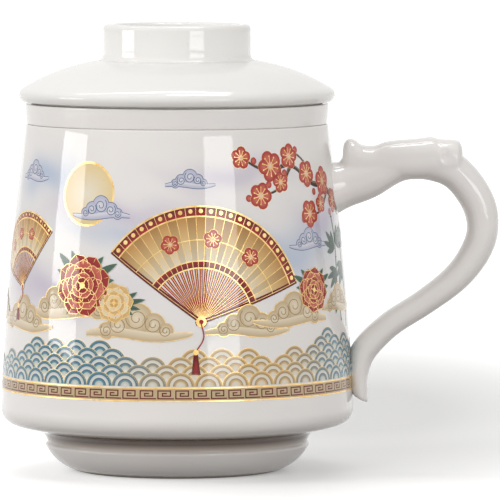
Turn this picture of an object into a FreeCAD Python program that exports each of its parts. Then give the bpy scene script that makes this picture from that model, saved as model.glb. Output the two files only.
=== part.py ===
import FreeCAD, Part
import math
import os

import Sketcher
from FreeCAD import Placement, Rotation, Vector

# A porcelain office mug with a strainer basket and a lift-off lid. The three nest on one axis.
# Millimetres, +Z up, +X towards the handle. The origin is on the axis, in the plane the foot stands on.

doc = FreeCAD.newDocument("lidded_mug")
sheet = doc.addObject("Spreadsheet::Sheet", "Sizes")

SIZES = {
    # mug body, outside
    "mug_tall": 97.2,          # foot to rim
    "body_radius": 49.3,       # widest, just above the belly
    "mug_taper": 7.1,          # the rim's radius is smaller by this
    "wall_bulge": 0.9,         # how far the side swells past a straight line
    "foot_inset": 12.3,        # widest radius less the foot flare's radius
    "foot_tall": 7.5,          # ground to the flare's edge
    "foot_bulge": 1.5,         # swell of the flare
    "seat_inset": 9.7,         # flare's edge in to the ring that stands on the table
    "seat_wide": 2.5,          # width of that ring
    "notch_deep": 0.7,
    "notch_tall": 0.8,
    "cove_wide": 4.9,
    "cove_tall": 3.7,
    "cove_bulge": 1.1,
    "under_tall": 1.1,         # rise of the belly's underside
    "belly_wide": 3.8,
    "belly_tall": 5.9,
    "belly_bulge": 1.5,
    # mug body, inside
    "rim_wall": 3.6,
    "low_wall": 4.2,
    "floor_lift": 0.8,         # floor above the top of the cove
    "base_thick": 5.3,         # floor to the hollow of the foot
    "floor_round": 9.0,
    "recess_round": 2.0,
    "edge_round": 0.7,         # every glazed edge
    # handle
    "handle_reach": 40.7,      # widest radius to the outermost point of the loop
    "handle_drop": 3.8,        # rim down to the top of the thumb rest
    "tail_height": 18.9,       # ground to the free tip of the tail
    "bar_thick": 8.8,
    "bar_wide": 12.6,
    "rest_thick": 7.4,
    "rest_wide": 15.6,
    # strainer basket
    "collar_tall": 5.7,
    "collar_set_back": 0.2,    # rim's radius less the collar's
    "collar_flare": 0.4,
    "basket_clearance": 1.0,   # round the basket in the mug's mouth
    "basket_deep": 57.2,       # rim down to the basket's bottom
    "basket_taper": 3.6,
    "basket_wall": 3.0,
    "basket_floor": 3.2,
    "basket_round": 6.0,
    "bore_spare": 4.0,         # straight bore below the lid's skirt
    "hole_wide": 2.2,
    "hole_step": 6.4,          # ring to ring in the floor
    "row_lift": 10.0,          # basket's bottom to its first row of side holes
    "row_step": 6.6,
    "row_holes": 16,
    # lid
    "lid_overhang": 0.8,       # lower edge past the collar
    "bead_tall": 4.6,
    "bead_inset": 0.6,
    "bead_bulge": 1.4,
    "dome_tall": 12.0,         # collar's top to the flat that carries the ring
    "dome_bulge": 1.05,
    "lid_thick": 4.0,
    "lid_clearance": 0.8,      # round the skirt in the basket's bore
    "skirt_deep": 7.0,
    "skirt_thick": 3.0,
    "under_lift": 4.5,         # seat to the edge of the lid's hollow
    # ring on the lid
    "ring_radius": 20.7,
    "ring_tall": 10.1,
    "ring_wall": 4.0,
    "ring_round": 1.4,
    "ring_flare": 1.5,
}

for row, (name, value) in enumerate(SIZES.items(), start=1):
    sheet.set(f"A{row}", name)
    sheet.set(f"B{row}", str(value))
    sheet.setAlias(f"B{row}", name)
doc.recompute()


class Length:
    """A number of millimetres, together with the sheet expression that gives it."""

    def __init__(self, number, text):
        self.number = number
        self.text = text

    def __add__(self, other):
        other = as_length(other)
        return Length(self.number + other.number, f"({self.text} + {other.text})")

    def __sub__(self, other):
        other = as_length(other)
        return Length(self.number - other.number, f"({self.text} - {other.text})")

    def __mul__(self, other):
        other = as_length(other)
        return Length(self.number * other.number, f"({self.text} * {other.text})")

    def __truediv__(self, other):
        other = as_length(other)
        return Length(self.number / other.number, f"({self.text} / {other.text})")


def as_length(value):
    """A plain number as a Length, and a Length as it is."""
    if isinstance(value, Length):
        return value
    return Length(value, str(value))


def size(name):
    """The sheet's value of this name."""
    return Length(float(getattr(sheet, name)), f"Sizes.{name}")


ZERO = as_length(0)


def bulged(start, end, bulge):
    """Radius of the arc from start to end that swells by bulge past its chord."""
    across = end[0] - start[0]
    up = end[1] - start[1]
    return (across * across + up * up) / (bulge * 8) + bulge / 2


def origin_plane(body, role):
    """One of the body's own three origin planes."""
    return next(plane for plane in body.Origin.OriginFeatures if plane.Role == role)


def bind(sketch, constraint, value):
    """Adds a dimension and ties it to the sheet."""
    index = sketch.addConstraint(constraint)
    sketch.setExpression(f"Constraints[{index}]", value.text)


def pin(sketch, geometry, point, corner):
    """Fixes a point of the sketch at a corner, which is a pair of lengths from its two axes."""
    for kind, length, axis in (("DistanceX", corner[0], -2), ("DistanceY", corner[1], -1)):
        if length is ZERO:
            sketch.addConstraint(Sketcher.Constraint("PointOnObject", geometry, point, axis))
        else:
            bind(sketch, Sketcher.Constraint(kind, -1, 1, geometry, point, length.number), length)


def arc_between(start, end, radius, side):
    """The shorter arc of this radius from start to end. It swells to the left of the way for side 1."""
    chord = end - start
    half = chord.Length / 2
    middle = (start + end) / 2
    normal = Vector(-chord.y, chord.x, 0).normalize()
    centre = middle - normal * (side * math.sqrt(max(radius * radius - half * half, 0.0)))
    first, last = (end, start) if side > 0 else (start, end)
    turn = math.atan2(first.y - centre.y, first.x - centre.x)
    stop = math.atan2(last.y - centre.y, last.x - centre.x)
    return Part.ArcOfCircle(Part.Circle(centre, Vector(0, 0, 1), radius), turn, stop)


def outline(body, name, corners):
    """A closed outline in the body's XZ plane. Each corner is (across, up), and may go on with the radius of
    the arc to the next corner and the side that it swells to: 1 is left of the way, -1 right."""
    sketch = body.newObject("Sketcher::SketchObject", name)
    sketch.AttachmentSupport = [(origin_plane(body, "XZ_Plane"), "")]
    sketch.MapMode = "FlatFace"
    spots = [Vector(corner[0].number, corner[1].number, 0) for corner in corners]
    ends = []
    for index, corner in enumerate(corners):
        start = spots[index]
        end = spots[(index + 1) % len(spots)]
        if len(corner) == 2:
            sketch.addGeometry(Part.LineSegment(start, end))
            ends.append((1, 2))
        else:
            sketch.addGeometry(arc_between(start, end, corner[2].number, corner[3]))
            ends.append((2, 1) if corner[3] > 0 else (1, 2))
    count = len(corners)
    for index in range(count):
        after = (index + 1) % count
        sketch.addConstraint(Sketcher.Constraint("Coincident", index, ends[index][1], after, ends[after][0]))
    for index, corner in enumerate(corners):
        pin(sketch, index, ends[index][0], corner[:2])
        if len(corner) > 2:
            bind(sketch, Sketcher.Constraint("Radius", index, corner[2].number), corner[2])
    return sketch


def revolve(body, kind, name, sketch):
    """Turns an outline through a full circle about the mug's axis."""
    turned = body.newObject(f"PartDesign::{kind}", name)
    turned.Profile = sketch
    turned.ReferenceAxis = (sketch, ["V_Axis"])
    turned.Angle = 360
    doc.recompute()
    return turned


def new_body(name):
    """A sub-part. Its name is also the name of its file."""
    body = doc.addObject("PartDesign::Body", name)
    body.Label = name
    return body


edge = size("edge_round")

# Mug body. The outside climbs from the standing ring over the flare of the foot, the notch, the cove and the
# belly to the rim.
rim_height = size("mug_tall")
body_radius = size("body_radius")
rim_radius = body_radius - size("mug_taper")
flare_radius = body_radius - size("foot_inset")
flare_height = size("foot_tall")
seat_radius = flare_radius - size("seat_inset")
recess_radius = seat_radius - size("seat_wide")
notch_radius = flare_radius - size("notch_deep")
notch_height = flare_height + size("notch_tall")
cove_radius = notch_radius + size("cove_wide")
cove_height = notch_height + size("cove_tall")
belly_radius = body_radius - size("belly_wide")
belly_height = cove_height + size("under_tall")
wall_height = belly_height + size("belly_tall")
floor_height = cove_height + size("floor_lift")
recess_height = floor_height - size("base_thick")
rim_bore = rim_radius - size("rim_wall")
low_bore = body_radius - size("low_wall")
floor_round = size("floor_round")
recess_round = size("recess_round")

outside = [
    (seat_radius, ZERO),
    (flare_radius, flare_height),
    (notch_radius, notch_height),
    (cove_radius, cove_height),
    (belly_radius, belly_height),
    (body_radius, wall_height),
    (rim_radius, rim_height - edge),
]
# how each stretch of the outside swells: out of the body for the flare, belly and wall, into it for the cove
flare_arc = (bulged(outside[0], outside[1], size("foot_bulge")), -1)
cove_arc = (bulged(outside[2], outside[3], size("cove_bulge")), 1)
belly_arc = (bulged(outside[4], outside[5], size("belly_bulge")), -1)
wall_arc = (bulged(outside[5], outside[6], size("wall_bulge")), -1)
swells = [flare_arc, (), cove_arc, (), belly_arc, wall_arc]
climb = [corner + swell for corner, swell in zip(outside, swells)]

mug_body = new_body("mug_body")
mug_outline = outline(mug_body, "MugOutline", climb + [
    (rim_radius, rim_height - edge, edge, -1),
    (rim_radius - edge, rim_height),
    (rim_bore + edge, rim_height, edge, -1),
    (rim_bore, rim_height - edge),
    (low_bore, floor_height + floor_round, floor_round, 1),
    (low_bore - floor_round, floor_height),
    (ZERO, floor_height),
    (ZERO, recess_height),
    (recess_radius - recess_round, recess_height, recess_round, 1),
    (recess_radius, recess_height - recess_round),
    (recess_radius, ZERO),
])
revolve(mug_body, "Revolution", "Shell", mug_outline)

# Handle. Its loop is a rounded bar through upright sections in the XZ plane. Each row gives the middle of a
# section, as shares of the reach past the widest radius and of the height from the tail's tip to the top of
# the thumb rest, then the tilt of its plane in degrees and its thickness and width as shares of the bar's.
LOOP = (
    (-0.245, 0.795, 90, 1.75, 1.40),
    (-0.056, 0.820, 84, 1.45, 1.20),
    (0.120, 0.858, 70, 1.16, 1.10),
    (0.330, 0.904, 80, 1.20, 1.05),
    (0.530, 0.908, 97, 1.22, 1.05),
    (0.715, 0.862, 130, 1.10, 1.04),
    (0.855, 0.757, 157, 1.07, 1.00),
    (0.890, 0.655, 180, 1.01, 0.98),
    (0.834, 0.562, 205, 0.96, 0.97),
    (0.701, 0.469, 223, 0.89, 0.96),
    (0.488, 0.378, 237, 0.82, 0.96),
    (0.249, 0.294, 231, 0.81, 0.98),
    (0.069, 0.199, 205, 0.88, 1.00),
    (0.020, 0.110, 182, 0.92, 1.00),
    (0.020, 0.000, 178, 0.80, 0.88),
)
# Thumb rest, from the small nub by the wall along the plateau to the end knuckle. Each row gives the reach as
# a share, the rest's top above or below its full height in shares of its thickness, and the section's
# thickness and width as shares.
REST = (
    (-0.068, -0.45, 0.30, 0.42),
    (-0.035, -0.08, 0.86, 0.78),
    (0.020, -0.05, 0.90, 0.86),
    (0.095, -0.33, 0.84, 0.88),
    (0.200, -0.10, 0.94, 0.96),
    (0.420, -0.02, 1.00, 1.00),
    (0.610, -0.03, 1.00, 0.98),
    (0.705, -0.14, 0.86, 0.84),
    (0.748, -0.34, 0.46, 0.50),
)

handle_foot = size("tail_height")
handle_top = rim_height - size("handle_drop")
handle_tall = handle_top - handle_foot
reach = size("handle_reach")


def section(body, name, across, up, tilt, thick, wide):
    """An ellipse square to the handle's way. At a tilt of 90 its plane is upright and the way is along X."""
    sketch = body.newObject("Sketcher::SketchObject", name)
    sketch.AttachmentSupport = [(origin_plane(body, "XY_Plane"), "")]
    sketch.MapMode = "FlatFace"
    spot = Vector(across.number, 0, up.number)
    sketch.AttachmentOffset = Placement(spot, Rotation(Vector(0, 1, 0), tilt))
    sketch.setExpression("AttachmentOffset.Base.x", across.text)
    sketch.setExpression("AttachmentOffset.Base.z", up.text)
    half_thick = thick / 2
    half_wide = wide / 2
    across_tip = Vector(half_thick.number, 0, 0)
    wide_tip = Vector(0, half_wide.number, 0)
    sketch.addGeometry(Part.Ellipse(wide_tip, across_tip, Vector(0, 0, 0)))
    sketch.exposeInternalGeometry(0)
    sketch.addConstraint(Sketcher.Constraint("Coincident", 0, 3, -1, 1))
    sketch.addConstraint(Sketcher.Constraint("Vertical", 1))
    bind(sketch, Sketcher.Constraint("Distance", 1, wide.number), wide)
    bind(sketch, Sketcher.Constraint("Distance", 2, thick.number), thick)
    return sketch


def loft(body, name, sections):
    """A smooth solid through the sections."""
    solid = body.newObject("PartDesign::AdditiveLoft", name)
    solid.Profile = sections[0]
    solid.Sections = sections[1:]
    doc.recompute()
    return solid


handle = new_body("handle")
loop_sections = [
    section(
        handle, f"LoopSection{index}",
        body_radius + reach * out, handle_foot + handle_tall * up, tilt,
        size("bar_thick") * thick, size("bar_wide") * wide,
    )
    for index, (out, up, tilt, thick, wide) in enumerate(LOOP)
]
loft(handle, "Loop", loop_sections)

rest_thick = size("rest_thick")
rest_sections = []
for index, (out, rise, thick, wide) in enumerate(REST):
    middle = handle_top + rest_thick * rise - rest_thick * thick / 2
    rest_sections.append(section(
        handle, f"RestSection{index}", body_radius + reach * out, middle, 90,
        rest_thick * thick, size("rest_wide") * wide,
    ))
loft(handle, "ThumbRest", rest_sections)

# The handle is luted to the glazed side, so its roots end on the mug's own outside.
side = climb + [
    (rim_radius, rim_height - edge),
    (ZERO, rim_height - edge),
    (ZERO, ZERO),
]
handle_seat = outline(handle, "HandleSeat", side)
revolve(handle, "Groove", "Seat", handle_seat)

# Strainer basket. Its collar lies on the mug's rim, and its wall hangs in the mouth with a named clearance.
basket = new_body("infuser")
collar_top = rim_height + size("collar_tall")
collar_low = rim_radius - size("collar_set_back")
collar_radius = collar_low + size("collar_flare")
basket_radius = rim_bore - size("basket_clearance")
basket_foot = rim_height - size("basket_deep")
basket_low = basket_radius - size("basket_taper")
basket_round = size("basket_round")
basket_wall = size("basket_wall")
basket_bore = basket_radius - basket_wall
low_inside = basket_low - basket_wall
basket_floor = basket_foot + size("basket_floor")
inner_round = basket_round - basket_wall / 2
bore_foot = collar_top - size("skirt_deep") - size("bore_spare")

basket_outline = outline(basket, "BasketOutline", [
    (ZERO, basket_foot),
    (basket_low - basket_round, basket_foot, basket_round, -1),
    (basket_low, basket_foot + basket_round),
    (basket_radius, rim_height),
    (collar_low - edge, rim_height, edge, -1),
    (collar_low, rim_height + edge),
    (collar_radius, collar_top - edge, edge, -1),
    (collar_radius - edge, collar_top),
    (basket_bore + edge, collar_top, edge, -1),
    (basket_bore, collar_top - edge),
    (basket_bore, bore_foot),
    (low_inside, basket_floor + inner_round, inner_round, 1),
    (low_inside - inner_round, basket_floor),
    (ZERO, basket_floor),
])
revolve(basket, "Revolution", "BasketShell", basket_outline)

hole_wide = size("hole_wide")
hole_rings = 3
holes_per_ring = 6                 # more holes in each ring than in the one inside it
side_rows = 3
margin = as_length(1.0)            # how far a cut runs past the wall


def hole(body, name, plane, across, up, lift, deep):
    """A round hole from a plane of the body, lift along the plane's normal, cut against that normal."""
    sketch = body.newObject("Sketcher::SketchObject", f"{name}Mark")
    sketch.AttachmentSupport = [(origin_plane(body, plane), "")]
    sketch.MapMode = "FlatFace"
    sketch.setExpression("AttachmentOffset.Base.z", lift.text)
    spot = Vector(across.number, up.number, 0)
    sketch.addGeometry(Part.Circle(spot, Vector(0, 0, 1), hole_wide.number / 2))
    if across is ZERO and up is ZERO:
        sketch.addConstraint(Sketcher.Constraint("Coincident", 0, 3, -1, 1))
    else:
        pin(sketch, 0, 3, (across, up))
    bind(sketch, Sketcher.Constraint("Diameter", 0, hole_wide.number), hole_wide)
    cut = body.newObject("PartDesign::Pocket", name)
    cut.Profile = sketch
    cut.Length = deep.number
    cut.setExpression("Length", deep.text)
    doc.recompute()
    return cut


def ring_of(body, name, cut, count):
    """Repeats a cut round the mug's axis. The count is a number or a value of the sheet."""
    axis = next(line for line in body.Origin.OriginFeatures if line.Role == "Z_Axis")
    pattern = body.newObject("PartDesign::PolarPattern", name)
    pattern.Originals = [cut]
    pattern.Axis = (axis, [""])
    pattern.Angle = 360
    pattern.Occurrences = int(count.number)
    pattern.setExpression("Occurrences", count.text)
    body.Tip = pattern
    doc.recompute()
    return pattern


floor_mark = basket_floor + margin
floor_cut = size("basket_floor") + margin * 2
hole(basket, "FloorHole0", "XY_Plane", ZERO, ZERO, floor_mark, floor_cut)
for ring in range(1, hole_rings + 1):
    mark = hole(basket, f"FloorHole{ring}", "XY_Plane", size("hole_step") * ring, ZERO, floor_mark, floor_cut)
    ring_of(basket, f"FloorRing{ring}", mark, as_length(holes_per_ring * ring))
for row in range(side_rows):
    row_height = basket_foot + size("row_lift") + size("row_step") * row
    mark = hole(basket, f"SideHole{row}", "XZ_Plane", ZERO, row_height, ZERO, basket_radius + margin)
    ring_of(basket, f"SideRow{row}", mark, size("row_holes"))

# Lid. Its underside lies on the collar, its skirt keeps it central, and the flat on its dome carries the ring.
lid = new_body("lid")
lid_radius = collar_radius + size("lid_overhang")
bead_radius = lid_radius - size("bead_inset")
bead_height = collar_top + size("bead_tall")
dome_height = collar_top + size("dome_tall")
ring_radius = size("ring_radius")
flat_radius = ring_radius + size("ring_flare")
skirt_radius = basket_bore - size("lid_clearance")
skirt_inside = skirt_radius - size("skirt_thick")
skirt_foot = collar_top - size("skirt_deep")
hollow_height = dome_height - size("lid_thick")
hollow_radius = ring_radius - size("ring_wall")
bead = [(lid_radius, collar_top), (bead_radius, bead_height)]
dome = [(bead_radius, bead_height), (flat_radius, dome_height)]
lid_outline = outline(lid, "LidOutline", [
    (ZERO, hollow_height),
    (hollow_radius, hollow_height),
    (skirt_inside, collar_top + size("under_lift")),
    (skirt_inside, skirt_foot + edge, edge, -1),
    (skirt_inside + edge, skirt_foot),
    (skirt_radius - edge, skirt_foot, edge, -1),
    (skirt_radius, skirt_foot + edge),
    (skirt_radius, collar_top),
    (lid_radius, collar_top, bulged(*bead, size("bead_bulge")), -1),
    (bead_radius, bead_height, bulged(*dome, size("dome_bulge")), -1),
    (flat_radius, dome_height),
    (ZERO, dome_height),
])
revolve(lid, "Revolution", "LidShell", lid_outline)

# Ring on the lid: a short open tube, flared where it is luted to the dome. It is the lid's knob, and the feet
# of the lid when that lies upside down.
knob = new_body("lid_knob_ring")
ring_flare = size("ring_flare")
ring_top = dome_height + size("ring_tall")
ring_inside = ring_radius - size("ring_wall")
ring_round = size("ring_round")
ring_outline = outline(knob, "RingOutline", [
    (ring_inside, dome_height),
    (flat_radius, dome_height, ring_flare, 1),
    (ring_radius, dome_height + ring_flare),
    (ring_radius, ring_top - ring_round, ring_round, -1),
    (ring_radius - ring_round, ring_top),
    (ring_inside + ring_round, ring_top, ring_round, -1),
    (ring_inside, ring_top - ring_round),
])
revolve(knob, "Revolution", "RingShell", ring_outline)

doc.recompute()
for thing in doc.Objects:
    if "Invalid" in thing.State or "Error" in thing.State:
        raise RuntimeError(f"{thing.Name} failed: {thing.State}")

os.makedirs("parts", exist_ok=True)
for body in (mug_body, handle, basket, lid, knob):
    shape = body.Shape
    if shape.isNull() or not shape.isValid() or len(shape.Solids) != 1:
        raise RuntimeError(f"{body.Label} is not one sound solid")
    box = shape.BoundBox
    print(
        f"{body.Label}: {shape.Volume / 1000:.2f} cm3,"
        f" X {box.XMin:.1f} to {box.XMax:.1f}, Y {box.YMin:.1f} to {box.YMax:.1f},"
        f" Z {box.ZMin:.1f} to {box.ZMax:.1f}"
    )
    shape.exportStep(f"parts/{body.Label}.step")
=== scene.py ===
import math

import bpy
import numpy as np
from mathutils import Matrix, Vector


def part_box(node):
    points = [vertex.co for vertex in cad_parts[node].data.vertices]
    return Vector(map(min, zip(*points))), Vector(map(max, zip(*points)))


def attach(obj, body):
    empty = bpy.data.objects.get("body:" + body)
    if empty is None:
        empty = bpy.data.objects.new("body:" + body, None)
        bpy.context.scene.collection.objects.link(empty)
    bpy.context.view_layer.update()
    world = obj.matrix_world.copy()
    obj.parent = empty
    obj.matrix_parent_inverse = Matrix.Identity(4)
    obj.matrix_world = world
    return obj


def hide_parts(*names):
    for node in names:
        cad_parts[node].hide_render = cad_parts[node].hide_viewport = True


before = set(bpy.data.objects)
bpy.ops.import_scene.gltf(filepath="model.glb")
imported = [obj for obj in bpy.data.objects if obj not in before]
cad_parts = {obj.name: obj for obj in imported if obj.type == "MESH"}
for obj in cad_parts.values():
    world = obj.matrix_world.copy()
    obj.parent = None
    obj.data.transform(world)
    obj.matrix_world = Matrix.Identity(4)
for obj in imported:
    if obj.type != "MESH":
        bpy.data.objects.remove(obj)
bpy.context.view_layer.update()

# Mug body. White porcelain, thrown and turned, then glazed inside and out: the clear glaze runs soft over
# every edge. The cove under the belly is tinted dark brown as painted shade. Only the ring under the foot
# is wiped bare.
MM = 0.001
MUG_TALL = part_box("mug_body")[1].z / MM
BODY_RADIUS = 49.3
RIM_RADIUS = 42.2
RIM_BORE = 38.6
PROFILE_STEP = 0.1
GLAZE_SOFT = 0.30
TURNS = 240

# Each corner of a profile is its radius, its height and the swell of the side after it, in millimetres.
MUG_SIDE = (
    (27.3, 0.0, 1.5), (37.0, 7.5, 0.0), (36.3, 8.3, -1.1), (41.2, 12.0, 0.0), (45.5, 13.1, 1.5),
    (BODY_RADIUS, 19.0, 0.9), (RIM_RADIUS, MUG_TALL, 0.0),
)
MUG_INSIDE = (
    (RIM_BORE, MUG_TALL, 0.0), (45.1, 21.8, -2.6), (36.1, 12.8, 0.0), (0.0, 12.8, 0.0),
)
MUG_RECESS = ((0.0, 7.5, 0.0), (22.8, 7.5, -0.6), (24.8, 5.5, 0.0), (24.8, 0.0, 0.0))


def bowed(corners, closed=False):
    """A profile through corners (radius, height, swell). Each side is an arc that stands out by its swell
    to the right of the way, as a parabola over its chord."""
    points = []
    count = len(corners) if closed else len(corners) - 1
    for index in range(count):
        start = np.array(corners[index][:2])
        end = np.array(corners[(index + 1) % len(corners)][:2])
        along = end - start
        length = np.hypot(*along)
        right = np.array((along[1], -along[0])) / length
        share = np.linspace(0, 1, max(3, int(length / PROFILE_STEP)), endpoint=False)[:, None]
        points.append(start + along * share + right * corners[index][2] * 4 * share * (1 - share))
    if not closed:
        points.append(np.array([corners[-1][:2]]))
    return np.concatenate(points)


def glazed(profile, soft=GLAZE_SOFT, turn=math.radians(7), longest=3.0, closed=False):
    """The profile as glaze leaves it: resampled evenly, averaged over a bell curve of width soft, then
    thinned to points that lie close together only where it bends."""
    path = np.vstack([profile, profile[:1]]) if closed else profile
    step = 0.05
    run = np.r_[0, np.cumsum(np.hypot(*np.diff(path, axis=0).T))]
    even = np.arange(0, run[-1], step) if closed else np.linspace(0, run[-1], int(run[-1] / step))
    fine = np.stack([np.interp(even, run, path[:, axis]) for axis in (0, 1)], 1)
    reach = int(3 * soft / step)
    bell = np.exp(-0.5 * (np.arange(-reach, reach + 1) * step / soft) ** 2)
    bell /= bell.sum()
    if closed:
        padded = np.vstack([fine[-reach:], fine, fine[:reach]])
    else:
        padded = np.vstack([2 * fine[0] - fine[reach:0:-1], fine, 2 * fine[-1] - fine[-2:-reach - 2:-1]])
    fine = np.stack([np.convolve(padded[:, axis], bell, "valid") for axis in (0, 1)], 1)
    if closed:
        fine = np.vstack([fine, fine[:1]])
    along = np.diff(fine, axis=0)
    heading = np.unwrap(np.arctan2(along[:, 1], along[:, 0]))
    bend = np.abs(np.diff(heading, prepend=heading[0]))
    need = np.r_[0, np.cumsum(bend / turn + np.hypot(*along.T) / longest)]
    picks = np.linspace(0, need[-1], int(need[-1]) + 2)
    thin = np.stack([np.interp(picks, need, fine[:, axis]) for axis in (0, 1)], 1)
    return thin[:-1] if closed else thin


def placed(name, data):
    """An object of this data, linked to the scene."""
    made = bpy.data.objects.new(name, data)
    bpy.context.scene.collection.objects.link(made)
    return made


def make_mesh(name, points, faces, smooth=True):
    """A mesh object from points in metres and faces, both arrays."""
    mesh = bpy.data.meshes.new(name)
    mesh.from_pydata(np.asarray(points).reshape(-1, 3).tolist(), [], [list(face) for face in faces])
    if smooth:
        mesh.shade_smooth()
    mesh.update()
    return placed(name, mesh)


def grid_faces(rows, columns, loop=False, tube=True):
    """The faces of a grid of points, each as its four corners. A loop joins its last row to its first,
    and a tube its last column to its first."""
    row = np.arange(rows if loop else rows - 1)[:, None]
    column = np.arange(columns if tube else columns - 1)[None, :]
    above = (row + 1) % rows * columns
    after = (column + 1) % columns
    corners = (row * columns + column, row * columns + after, above + after, above + column)
    return np.stack(corners, -1).reshape(-1, 4)


def lathe(name, profile, turns=TURNS, closed=False):
    """A surface of revolution: every point of the profile, in millimetres, turned about the Z axis. A
    profile that starts and ends on the axis closes in two poles, and a closed one into a ring."""
    rings = profile if closed else profile[1:-1]
    angle = np.linspace(0, 2 * np.pi, turns, endpoint=False)
    radius = rings[:, :1]
    x = radius * np.cos(angle)
    y = radius * np.sin(angle)
    z = rings[:, 1:] * np.ones(turns)
    points = np.stack([x, y, z], -1).reshape(-1, 3) * MM
    faces = grid_faces(len(rings), turns, loop=closed).tolist()
    if not closed:
        first = len(points)
        poles = np.array([[0, 0, profile[0, 1]], [0, 0, profile[-1, 1]]]) * MM
        points = np.vstack([points, poles])
        last_row = first - turns
        faces += [[first, (k + 1) % turns, k] for k in range(turns)]
        faces += [[first + 1, last_row + k, last_row + (k + 1) % turns] for k in range(turns)]
    return make_mesh(name, points, faces)


def link(tree, start, end):
    """Joins an output socket to an input socket."""
    tree.links.new(start, end)


def node(tree, kind, **values):
    """A shader node of the kind. Each named value is set on the node or, failing that, on its input."""
    made = tree.nodes.new("ShaderNode" + kind)
    for name, value in values.items():
        if hasattr(made, name):
            setattr(made, name, value)
        else:
            made.inputs[name.replace("_", " ")].default_value = value
    return made


def ramp(tree, source, stops):
    """A colour ramp over a factor. Each stop is a position and a colour."""
    made = node(tree, "ValToRGB")
    made.color_ramp.elements.remove(made.color_ramp.elements[1])
    made.color_ramp.elements[0].position = stops[0][0]
    made.color_ramp.elements[0].color = (*stops[0][1], 1)
    for position, colour in stops[1:]:
        made.color_ramp.elements.new(position).color = (*colour, 1)
    link(tree, source, made.inputs["Fac"])
    return made.outputs["Color"]


def noise(tree, place, scale, detail, **values):
    """Noise over the places, of a scale and a detail."""
    made = node(tree, "TexNoise", Scale=scale, Detail=detail, **values)
    link(tree, place, made.inputs["Vector"])
    return made.outputs["Fac"]


def ranged(tree, source, low, high, start=0.0, end=1.0):
    """A value carried from the range low to high over to the range start to end, and held at its ends."""
    made = node(tree, "MapRange", From_Min=low, From_Max=high, To_Min=start, To_Max=end)
    link(tree, source, made.inputs["Value"])
    return made.outputs["Result"]


def tinted(tree, colour, tint, share=1.0):
    """A colour multiplied by a tint, as far as the share says."""
    made = node(tree, "Mix", data_type="RGBA", blend_type="MULTIPLY")
    made.inputs["Factor"].default_value = share
    link(tree, colour, made.inputs[6])
    link(tree, tint, made.inputs[7])
    return made.outputs[2]


def new_material(name):
    """A material, its node tree, the tree's shader and the place on the object."""
    material = bpy.data.materials.new(name)
    material.use_nodes = True
    tree = material.node_tree
    return material, tree, tree.nodes["Principled BSDF"], node(tree, "TexCoord").outputs["Object"]


GLAZE_WHITE = (0.800, 0.772, 0.748)
GLAZE_COOL = (0.972, 0.978, 0.985)
GLAZE_IOR = 1.52
BISQUE = (0.66, 0.60, 0.52)
BISQUE_SHADE = 0.88
BISQUE_ROUGH = 0.8
WIPED_BELOW = 0.0011
WIPED_FADE = 0.0003
WIPED_RAGGED = 0.0006
# Painted shade in the cove lies between these heights in metres. Its tint goes by the share of the way
# from low to high.
COVE_PAINTED_SHADE_LOW = 0.007
COVE_PAINTED_SHADE_HIGH = 0.013
COVE_PAINTED_SHADE_TINT = (
    (0.10, (1.0, 1.0, 1.0)), (0.20, (0.78, 0.73, 0.69)), (0.38, (0.50, 0.43, 0.38)),
    (0.53, (0.20, 0.15, 0.12)), (0.84, (0.20, 0.15, 0.12)), (0.955, (1.0, 1.0, 1.0)),
)


def porcelain(name, white=GLAZE_WHITE, pigment=None, bare_below=None):
    """Glazed porcelain: a faintly uneven white, a few pin specks, and a clear gloss that ripples a
    little. A pigment is an attribute that tints it. With a height to be bare below, it is wiped clay
    under that height, and the cove above is tinted dark brown as painted shade."""
    material, tree, shader, place = new_material(name)
    cloud = noise(tree, place, 32.0, 3.0, Roughness=0.55)
    cool = tuple(channel * share for channel, share in zip(white, GLAZE_COOL))
    colour = ramp(tree, cloud, ((0.35, white), (0.68, cool)))
    if pigment:
        read = node(tree, "VertexColor", layer_name=pigment)
        colour = tinted(tree, colour, read.outputs["Color"])
    speck = node(tree, "TexVoronoi", Scale=260.0)
    link(tree, place, speck.inputs["Vector"])
    colour = tinted(tree, colour, ranged(tree, speck.outputs["Distance"], 0.030, 0.055, 0.80, 1.0), 0.5)
    rough = ranged(tree, cloud, 0.3, 0.7, 0.035, 0.065)
    if bare_below is not None:
        height = node(tree, "SeparateXYZ")
        link(tree, place, height.inputs["Vector"])
        # Painted shade: the cove under the belly is darkened between these heights.
        depth = ranged(tree, height.outputs["Z"], COVE_PAINTED_SHADE_LOW, COVE_PAINTED_SHADE_HIGH)
        colour = tinted(tree, colour, ramp(tree, depth, COVE_PAINTED_SHADE_TINT))
        grain = noise(tree, place, 900.0, 2.0)
        edge = node(tree, "Math", operation="MULTIPLY_ADD")
        edge.inputs[1].default_value = WIPED_RAGGED
        link(tree, grain, edge.inputs[0])
        link(tree, height.outputs["Z"], edge.inputs[2])
        bare = ranged(tree, edge.outputs["Value"], bare_below, bare_below + WIPED_FADE, 1.0, 0.0)
        clay = ramp(tree, grain, ((0.3, BISQUE), (0.7, tuple(c * BISQUE_SHADE for c in BISQUE))))
        wiped = node(tree, "Mix", data_type="RGBA")
        link(tree, bare, wiped.inputs["Factor"])
        link(tree, colour, wiped.inputs[6])
        link(tree, clay, wiped.inputs[7])
        colour = wiped.outputs[2]
        dull = node(tree, "Mix", data_type="FLOAT")
        link(tree, bare, dull.inputs["Factor"])
        link(tree, rough, dull.inputs[2])
        dull.inputs[3].default_value = BISQUE_ROUGH
        rough = dull.outputs[0]
    wave = node(tree, "Bump", Strength=0.18, Distance=0.0005)
    link(tree, noise(tree, place, 75.0, 1.0), wave.inputs["Height"])
    skin = node(tree, "Bump", Strength=0.02, Distance=0.0002)
    link(tree, noise(tree, place, 700.0, 1.0), skin.inputs["Height"])
    link(tree, wave.outputs["Normal"], skin.inputs["Normal"])
    link(tree, skin.outputs["Normal"], shader.inputs["Normal"])
    link(tree, colour, shader.inputs["Base Color"])
    link(tree, rough, shader.inputs["Roughness"])
    shader.inputs["IOR"].default_value = GLAZE_IOR
    return material


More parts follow.
